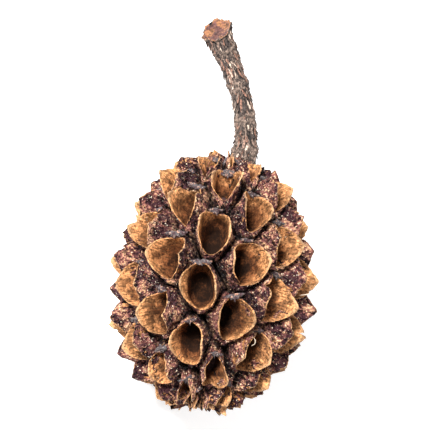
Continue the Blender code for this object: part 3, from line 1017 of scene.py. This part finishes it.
def fibre_routes(shape):
    """Short curved routes: a few lie on the valves, the rest fringe the stalk's base."""
    chance = random.Random(SHAPE_SEED + 2)
    routes = []
    for whorl, column, size, turn in FIBRE_SEATS:
        place, round_cone, to_stalk, outward = surface_place(shape, whorl, column)
        way = round_cone * math.cos(turn) + to_stalk * math.sin(turn)
        foot = place + outward * shape.tip_rise * 0.3
        curl = [way * t + outward * 0.7 * math.sin(2.4 * t) for t in FIBRE_SHARES]
        routes.append([foot + offset * size for offset in curl])
    base, girth = STALK_ROUTE[2][0], STALK_ROUTE[2][3]
    droop = Vector((0.0, -1.0, 0.0))
    for number in range(BASE_FIBRES):
        phi = 2 * math.pi * number / BASE_FIBRES + chance.uniform(-0.2, 0.2)
        along = chance.uniform(*BASE_FIBRE_SPAN)
        size = chance.uniform(*BASE_FIBRE_LENGTH)
        rise = chance.uniform(-1.0, 0.6)
        outward = around_cone(phi)
        foot = Vector((base, along, 0.0)) + outward * girth * 0.85
        curl = [outward * t - droop * rise * t + droop * t * t for t in FIBRE_SHARES]
        routes.append([foot + offset * size for offset in curl])
    return routes


def fibre_mesh(shape):
    """Every fibre as a slim closed tube that thins out to its tip."""
    pose = rest_pose()
    points, faces = [], []
    for route in fibre_routes(shape):
        line = catmull_rom([tuple(pose @ p) for p in route], 3)
        radii = shape.fibre_width / 2 * np.linspace(1.3, 0.6, len(line))
        rings, _ = tube_rings(line, radii, FIBRE_SIDES)
        first = len(points)
        more, sides = closed_tube(rings, line[0], line[-1])
        points += more.tolist()
        faces += [tuple(first + corner for corner in face) for face in sides]
    return mesh_of("fibres", points, faces)


# Materials


class Paint:
    """A material's node tree, with its Principled shader and its object coordinates."""

    def __init__(self, name):
        self.material = bpy.data.materials.new(name)
        self.material.use_nodes = True
        self.tree = self.material.node_tree
        self.shader = self.tree.nodes["Principled BSDF"]
        self.place = node(self.tree, "ShaderNodeTexCoord", output="Object")

    def read(self, *names):
        """Fields of numbers that are stored for each point."""
        kind = "ShaderNodeAttribute"
        return [node(self.tree, kind, output="Fac", attribute_name=name) for name in names]

    def noise(self, *settings):
        return noise(self.place, *settings)

    def mix(self, share, first, second, blend_type="MIX"):
        made = self.tree.nodes.new("ShaderNodeMix")
        made.data_type = "RGBA"
        made.blend_type = blend_type
        feed(made.inputs[0], share)
        for socket, value in zip(made.inputs[6:8], (first, second)):
            feed(socket, value if isinstance(value, Field) else (*value, 1.0))
        return Field(self.tree, made.outputs[2])

    def cover(self, tint, other, value, low, high, most=1.0):
        """Lays another colour over the tint as the value goes from low to high."""
        return self.mix(step(value, low, high, 0.0, most), tint, other)

    def dim(self, tint, value, low, high, start, end):
        """The tint times a number that goes from start to end as the value goes up."""
        factor = step(value, low, high, start, end)
        return self.mix(1.0, tint, combine(factor, factor, factor), "MULTIPLY")

    def set_constant(self, **values):
        """Sets sockets of the shader that are the same all over the surface."""
        for name, value in values.items():
            self.shader.inputs[name.replace("_", " ")].default_value = value

    def finish(self, tint, roughness, height, distance, strength=1.0):
        """Feeds the shader its colour, roughness and bumps, and returns the material."""
        feed(self.shader.inputs["Base Color"], tint)
        feed(self.shader.inputs["Roughness"], roughness)
        inputs = {"Height": height, "Distance": distance, "Strength": strength}
        feed(self.shader.inputs["Normal"], formula("ShaderNodeBump", inputs))
        return self.material


def valve_material(colours, lichen_spot):
    """Dark warty backs, thin orange rims that widen at the tips, and fibrous tan insides, with
    painted shade in the mouths and at the backs' feet and painted highlights on the backs.
    """
    paint = Paint("valve_wood")
    relief, fold, over_rim, depth = paint.read("relief", "fold", "over_rim", "depth_in")
    across, along, tone, up = paint.read("across", "along", "tone", "up_back")
    tip = abs(across)
    grain = paint.noise(3400, 2.0, 0.5)
    patch = paint.noise(560, 2.0, 0.5)
    crust = paint.noise(1300, 2.5, 0.6, 0.6)
    fine = paint.noise(6400, 1.5, 0.5)

    # Backs: warm patches, warts in two tones, dark cracks, painted shade in the wrinkles' grooves
    # and at the feet, and a few bright glints that are painted highlights
    warm = step(patch * 0.7 + grain * 0.3 + fold * 0.12 + tone * 0.06, 0.50, 0.62)
    back = paint.mix(warm, colours.back, colours.back_warm)
    wart = grain * 0.6 + relief * 0.2 + patch * 0.7
    back = paint.cover(back, colours.back_wart, wart, 0.69, 0.76, 0.9)
    speck = grain * 0.5 + fine * 0.3 + patch * 0.3
    back = paint.cover(back, colours.back_speck, speck, 0.60, 0.63, 0.85)
    crack = abs(crust - 0.5) + abs(patch - 0.5) * 0.25
    back = paint.dim(back, crack, 0.005, 0.04, 0.20, 1.0)
    # Painted shade in the grooves of the wrinkles
    back = paint.dim(back, fold, 0.03, 0.22, 0.12, 1.0)
    # Painted highlights: a few bright glints on the backs
    painted_glint = fine * 0.5 + grain * 0.3 + crust * 0.2
    back = paint.cover(back, colours.painted_glint, painted_glint, 0.605, 0.625)
    # Painted shade: the backs darken towards their feet in the creases between the fruits, and
    # lighten a little at the top
    back = paint.dim(back, up + (grain - 0.5) * 0.3, 0.0, 0.6, 0.12, 1.1)

    # Insides: fibres that run down into the depth, blotches, pores and chalky specks, with painted
    # shade that darkens them with depth and a painted shadow at the bottom
    fibre_frame = combine(across * 4.5 + tone * 31, along * 4.5, depth * 1.3 + tone * 57)
    fibre = noise(fibre_frame, 2.4, 4.0, 0.62, 0.4)
    blotch = paint.noise(780, 3.0, 0.62)
    shade = depth + (fibre - 0.5) * 0.8 + (blotch - 0.5) * 0.6
    # Painted shade: the insides darken with depth into the mouth
    inside = paint.mix(step(shade, 0.08, 0.62), colours.inside, colours.inside_painted_shade)
    inside = paint.dim(inside, fibre * 0.7 + grain * 0.3, 0.43, 0.57, 0.50, 1.55)
    inside = paint.dim(inside, blotch + tone * 0.08, 0.46, 0.60, 1.2, 0.55)
    inside = paint.dim(inside, fine * 0.6 + grain * 0.4, 0.40, 0.44, 0.45, 1.0)
    chalk = grain * 0.5 + fine * 0.5 - depth * 0.7
    inside = paint.cover(inside, colours.rim_tip, chalk, 0.48, 0.55, 0.55)
    # Painted shadow: the bottom of each mouth goes near black
    inside = paint.cover(inside, colours.hollow, shade + (crust - 0.5) * 0.8, 0.55, 1.05)

    # Rims
    band = blend(-0.03, 0.03, tip ** 4) + (grain - 0.5) * 0.08
    rim = paint.mix(tip ** 3 * 0.9, colours.rim, colours.rim_tip)
    rim = paint.dim(rim, grain * 0.6 + patch * 0.5, 0.46, 0.60, 0.55, 1.2)
    inner = paint.mix(1 - step(depth - band, 0.0, 0.02), inside, rim)
    edge = step(over_rim + (grain - 0.5) * 0.8, 0.10, 0.34)
    tint = paint.mix(edge, back, inner)

    # One spot of lichen on a rim
    inputs = {0: paint.place, 1: lichen_spot}
    gap = formula("ShaderNodeVectorMath", inputs, 1, operation="DISTANCE")
    crumbs = gap + (fine - 0.5) * 0.0014 + (crust - 0.5) * 0.0012
    tint = paint.mix(step(crumbs, 0.00035, 0.00065, 0.85, 0.0), tint, colours.lichen)

    roughness = blend(step(grain, 0.40, 0.60, 0.30, 0.7), blend(0.5, 0.95, depth), edge)
    rough_back = fine * 0.6 + grain * 0.9 + crust * 1.8 + fold * 0.25
    height = blend(rough_back, fibre * 0.5 + fine * 0.2 + blotch * 0.5, edge)
    paint.set_constant(Specular_IOR_Level=VALVE_GLOSS)
    return paint.finish(tint, roughness, height, 0.0006)


def core_material(colours):
    """Wood in the creases between the fruits, darkened by painted shade."""
    paint = Paint("crevice_wood")
    grain = paint.noise(1600, 5.0, 0.65)
    tint = paint.mix(step(grain, 0.42, 0.72), colours.back, colours.back_warm)
    # Painted shade: the creases' wood is multiplied down by CREVICE_SHADE
    tint = paint.mix(1.0, tint, (CREVICE_SHADE,) * 3, "MULTIPLY")
    return paint.finish(tint, 0.9, grain, 0.0003)


def bract_material(colours):
    """Grey-brown bracts and scales with paler, warmer edges."""
    paint = Paint("bract_wood")
    grain = paint.noise(2600, 3.0, 0.6)
    patch = paint.noise(900, 2.0)
    tint = paint.mix(step(grain, 0.40, 0.50), colours.back, colours.bract)
    tint = paint.cover(tint, colours.back_wart, grain + patch * 0.4, 0.78, 0.84)
    tint = paint.cover(tint, colours.bract_edge, paint.noise(5200, 2.0), 0.61, 0.66)
    return paint.finish(tint, 0.6, grain, 0.0004)


def bark_material(colours):
    """Grey-brown bark with pale ridges and painted shade in its grooves, and a reddish scar with a
    tan edge.
    """
    paint = Paint("stalk_bark")
    height, run, scar_in = paint.read("bark_height", "run", "scar_in")
    ring_x, ring_y = paint.read("ring_x", "ring_y")
    grain = paint.noise(3000, 3.0, 0.6)
    mottle = paint.noise(1000, 3.0, 0.6)
    fine = paint.noise(5200, 2.0, 0.6)
    strand = noise(combine(ring_x * 6, ring_y * 6, run * 620), 1.0, 4.0, 0.62, 0.3)
    ridge = step(height * 0.35 + strand * 0.7 + (grain - 0.5) * 0.5, 0.30, 0.48)
    tint = paint.mix(ridge, colours.bark, colours.bark_ridge)
    tint = paint.cover(tint, colours.flake_pale, strand * 0.6 + grain * 0.4, 0.58, 0.64, 0.6)
    tint = paint.dim(tint, grain, 0.38, 0.60, 0.35, 1.2)
    # Painted shade in the bark's low grooves
    tint = paint.dim(tint, height, -0.45, 0.05, 0.3, 1.0)
    heart = paint.mix(step(mottle, 0.50, 0.62), colours.scar, colours.scar_rim)
    heart = paint.dim(heart, grain, 0.38, 0.60, 0.45, 1.15)
    edge = step(scar_in + (mottle - 0.5) * 0.15, 0.07, 0.14, 1.0, 0.0)
    heart = paint.mix(edge, heart, colours.scar_rim)
    tint = paint.cover(tint, heart, scar_in + (grain - 0.5) * 0.03, 0.01, 0.05)
    return paint.finish(tint, 0.85, strand * 0.9 + fine * 0.6 + grain * 0.5, 0.0005)


def flake_material(colours):
    """Loose flakes in the tones of the bark, some of them red or pale."""
    paint = Paint("bark_flake")
    (tone,) = paint.read("flake_tone")
    grain = paint.noise(3600, 3.0, 0.6)
    tint = paint.mix(step(tone, 0.25, 0.75), colours.bark, colours.bark_ridge)
    tint = paint.cover(tint, colours.flake_red, tone, 0.72, 0.78)
    tint = paint.cover(tint, colours.flake_pale, tone, 0.90, 0.95)
    tint = paint.dim(tint, grain, 0.38, 0.60, 0.4, 1.15)
    return paint.finish(tint, 0.85, grain, 0.0003)


def fibre_material(colours):
    """Pale dry fibres, browner in places."""
    paint = Paint("dry_fibre")
    tone = paint.noise(420, 2.0)
    tint = paint.mix(step(tone, 0.42, 0.58), colours.fibre, colours.flake_red)
    return paint.finish(tint, 0.7, tone, 0.0001)


def floor_material(stage):
    """A pale, matt floor with a weak white glow of its own."""
    paint = Paint("studio_floor")
    grain = paint.noise(40, 2.0)
    tint = paint.mix(grain * 0.02, stage.floor, WHITE[:3])
    paint.set_constant(Emission_Color=WHITE, Emission_Strength=stage.floor_glow)
    return paint.finish(tint, 0.9, grain, 0.0001, 0.1)


# Operators


class BuildStep:
    """What the cone's operators share."""

    bl_options = {"REGISTER", "UNDO"}


class CONE_OT_valves(BuildStep, bpy.types.Operator):
    """Grow the fruits' valves on every whorl of the cone"""

    bl_idname = "cone.valves"
    bl_label = "Valves"

    def execute(self, context):
        shape = context.scene.cone_shape
        place, _, _, outward = surface_place(shape, *LICHEN_SEAT)
        spot = rest_pose() @ (place + outward * LICHEN_RISE)
        material = valve_material(context.scene.cone_colours, spot)
        open_cup = new_object("open_cup", cup_mesh(CUP_TURNS))
        closed_cup = new_object("closed_cup", cup_mesh(CLOSED_CUP_TURNS))
        fruits, closed = fruit_seats(shape), closed_seats(shape)
        for name, cup, seats, first, last in (
            ("valves_by_stalk", open_cup, fruits, -math.inf, 3),
            ("valves_middle", open_cup, fruits, 3, 7),
            ("valves_free_end", open_cup, fruits, 7, math.inf),
            ("closed_valves_by_stalk", closed_cup, closed, -math.inf, 3),
            ("closed_valves_free_end", closed_cup, closed, 3, math.inf),
        ):
            chosen = [seat for seat in seats if first <= seat["whorl"] < last]
            piece = new_object(name, seats_mesh(name, chosen))
            valve_grower(shape, cup).grow(piece, material)
            finish_piece(piece, "dry_wood", "cone_head")
        for cup in (open_cup, closed_cup):
            bpy.data.objects.remove(cup)
        return {"FINISHED"}


class CONE_OT_core(BuildStep, bpy.types.Operator):
    """Build the woody core that shows in the creases between the fruits"""

    bl_idname = "cone.core"
    bl_label = "Core"

    def execute(self, context):
        colours = context.scene.cone_colours
        plain_piece("core", core_mesh(context.scene.cone_shape), core_material(colours))
        return {"FINISHED"}


class CONE_OT_bracts(BuildStep, bpy.types.Operator):
    """Set the bracts over the mouths, and the closed scales round both ends"""

    bl_idname = "cone.bracts"
    bl_label = "Bracts and end scales"

    def execute(self, context):
        shape = context.scene.cone_shape
        material = bract_material(context.scene.cone_colours)
        seats = fruit_seats(shape)
        for seat in seats:
            above = Vector((0.0, seat["half_height"] + BRACT_GAP * seat["size"], -BRACT_SINK))
            seat["frame"] = seat["frame"] @ Matrix.Translation(above)
        for name, seat_mesh, shown, grower in (
            ("bracts", seats_mesh("bracts", seats), bract_mesh(), bract_grower),
            ("end_scales", end_seats(), scale_mesh(), scale_grower),
        ):
            pattern = new_object(name + "_pattern", shown)
            piece = new_object(name, seat_mesh)
            grower(shape, pattern).grow(piece, material)
            finish_piece(piece, "dry_wood", "cone_head")
            bpy.data.objects.remove(pattern)
        return {"FINISHED"}


class CONE_OT_stalk(BuildStep, bpy.types.Operator):
    """Build the bark-covered stalk, its scar and its loose flakes"""

    bl_idname = "cone.stalk"
    bl_label = "Stalk"

    def execute(self, context):
        shape, colours = context.scene.cone_shape, context.scene.cone_colours
        stalk = new_object("stalk_bark_tube", stalk_mesh())
        flakes = new_object("stalk_flakes", stalk.data.copy())
        pattern = new_object("flake_pattern", flake_mesh())
        bark_grower(shape).grow(stalk, bark_material(colours))
        flake_grower(shape, pattern).grow(flakes, flake_material(colours))
        bpy.data.objects.remove(pattern)
        for piece in (stalk, flakes):
            finish_piece(piece, "stalk_bark", "stalk")
        return {"FINISHED"}


class CONE_OT_fibres(BuildStep, bpy.types.Operator):
    """Lay the dry fibres on the valves and round the stalk's base"""

    bl_idname = "cone.fibres"
    bl_label = "Fibres"

    def execute(self, context):
        colours = context.scene.cone_colours
        plain_piece("fibres", fibre_mesh(context.scene.cone_shape), fibre_material(colours))
        return {"FINISHED"}


def area_light(name, power, size, place, target):
    """A soft square light that faces a target."""
    light = bpy.data.lights.new(name, "AREA")
    light.energy = power
    light.size = size
    obj = new_object(name, light)
    obj.location = place
    obj.rotation_euler = (place - target).to_track_quat("Z", "Y").to_euler()


class CONE_OT_stage(BuildStep, bpy.types.Operator):
    """Set up the floor, the soft studio light and the photograph's camera"""

    bl_idname = "cone.stage"
    bl_label = "Stage"

    def execute(self, context):
        stage = context.scene.cone_stage
        half = FLOOR_HALF
        corners = [(-half, -half, 0), (half, -half, 0), (half, half, 0), (-half, half, 0)]
        floor = new_object("floor", mesh_of("floor", corners, [(0, 1, 2, 3)]))
        floor.data.materials.append(floor_material(stage))

        pose = rest_pose()
        turn = pose.to_3x3()
        ahead = Vector((0, math.cos(VIEW_LEAN), math.sin(VIEW_LEAN)))
        right = turn @ (Vector((math.cos(VIEW_TURN), 0, 0)) + ahead * math.sin(VIEW_TURN))
        up = turn @ (Vector((-math.sin(VIEW_TURN), 0, 0)) + ahead * math.cos(VIEW_TURN))
        back = right.cross(up)
        shift_right = (VIEW_PIXELS / 2 - MIDDLE_PIXEL[0]) / PIXELS_PER_METRE
        shift_up = (MIDDLE_PIXEL[1] - VIEW_PIXELS / 2) / PIXELS_PER_METRE
        target = pose.translation + right * shift_right + up * shift_up
        camera = new_object("camera", bpy.data.cameras.new("camera"))
        camera.data.lens = stage.focal_length
        width = VIEW_PIXELS / PIXELS_PER_METRE
        distance = width * camera.data.lens / camera.data.sensor_width
        axes = Matrix((right, up, back)).transposed().to_4x4()
        camera.matrix_world = Matrix.Translation(target + back * distance) @ axes
        camera.data.clip_start = 0.01
        context.scene.camera = camera

        for name, power, size, place in (
            ("key", stage.key_power, KEY_SIZE, back * 0.40 + up * 0.19 - right * 0.07),
            ("fill_left", stage.fill_power, FILL_SIZE, back * 0.22 - right * 0.36 - up * 0.05),
            ("fill_right", stage.fill_power, FILL_SIZE, back * 0.22 + right * 0.36),
        ):
            area_light(name, power, size, target + place, target)
        world = bpy.data.worlds.new("room")
        context.scene.world = world
        world.use_nodes = True
        shine = world.node_tree.nodes["Background"]
        shine.inputs["Color"].default_value = WHITE
        shine.inputs["Strength"].default_value = stage.sky
        context.scene.view_settings.view_transform = "Standard"
        return {"FINISHED"}


class CONE_PT_panel(bpy.types.Panel):
    """Sizes, colours and pieces of the cone"""

    bl_label = "Casuarina cone"
    bl_idname = "CONE_PT_panel"
    bl_space_type = "VIEW_3D"
    bl_region_type = "UI"
    bl_category = "Cone"

    def draw(self, context):
        for operator in OPERATORS:
            self.layout.operator(operator.bl_idname)
        for name in GROUPS:
            group = getattr(context.scene, name)
            box = self.layout.box()
            for label in group.bl_rna.properties.keys():
                if label not in ("rna_type", "name"):
                    box.prop(group, label)


GROUPS = {"cone_shape": ConeShape, "cone_colours": ConeColours, "cone_stage": ConeStage}
OPERATORS = (
    CONE_OT_core,
    CONE_OT_valves,
    CONE_OT_bracts,
    CONE_OT_stalk,
    CONE_OT_fibres,
    CONE_OT_stage,
)


def register():
    for cls in (*GROUPS.values(), *OPERATORS, CONE_PT_panel):
        bpy.utils.register_class(cls)
    for name, group in GROUPS.items():
        setattr(bpy.types.Scene, name, PointerProperty(type=group))


def unregister():
    for name in GROUPS:
        delattr(bpy.types.Scene, name)
    for cls in (CONE_PT_panel, *reversed(OPERATORS), *GROUPS.values()):
        bpy.utils.unregister_class(cls)


def main():
    register()
    bpy.ops.cone.core()
    bpy.ops.cone.valves()
    bpy.ops.cone.bracts()
    bpy.ops.cone.stalk()
    bpy.ops.cone.fibres()
    bpy.ops.cone.stage()


if __name__ == "__main__":
    main()
